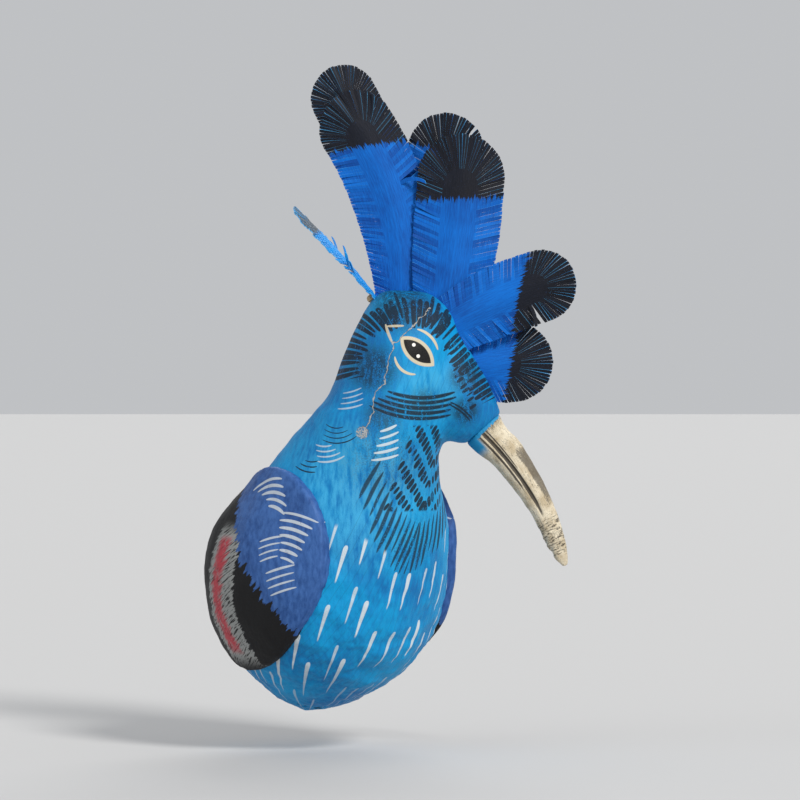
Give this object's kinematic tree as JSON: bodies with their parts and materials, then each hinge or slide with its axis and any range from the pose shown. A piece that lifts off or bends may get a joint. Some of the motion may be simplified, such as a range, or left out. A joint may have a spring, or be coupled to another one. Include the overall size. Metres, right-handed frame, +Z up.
{
  "type": "alebrije bird bust",
  "caption": "Hollow papier-mache bird bust on a flat wall board, with a turned head, a long curved beak, raised wing pads and a fan crest of fringed card feathers.",
  "frame": {"origin": "on the wall face of the back board, at the height of the widest part of the body, midway across", "axes": "+Y into the wall, -Y out towards the viewer, +Z up, +X the bird's left"},
  "size_m": [0.1788, 0.1979, 0.4238],
  "materials": {
    "painted_paper_body": "hand-painted papier-mache, satin acrylic",
    "painted_paper_head": "hand-painted papier-mache, satin acrylic",
    "painted_paper_wing": "hand-painted papier-mache, satin acrylic",
    "painted_beak": "ivory paint over paper pulp, dry-brushed black",
    "painted_card": "matt acrylic on cut card",
    "bare_card": "bare card",
    "board": "bare plywood",
    "cane": "split cane",
    "glue": "dried glue",
    "wire": "annealed wire"
  },
  "bodies": {
    "root": {"body_shell": "painted_paper_body", "head_shell": "painted_paper_head", "neck_collar": "bare_card", "back_board": "board", "right_wing": "painted_paper_wing", "left_wing": "painted_paper_wing", "beak": "painted_beak", "beak_wire": "wire", "crest_feather_1": "painted_card", "crest_feather_2": "painted_card", "crest_feather_3": "painted_card", "crest_feather_4": "painted_card", "crest_feather_5": "painted_card", "crest_feather_6": "painted_card", "crest_feather_7": "painted_card", "crest_stick_1": "cane", "crest_stick_2": "cane", "crest_stick_3": "cane", "crest_stick_4": "cane", "crest_stick_5": "cane", "crest_stick_6": "cane", "crest_stick_7": "cane", "crest_glue": "glue"}
  },
  "joints": []
}
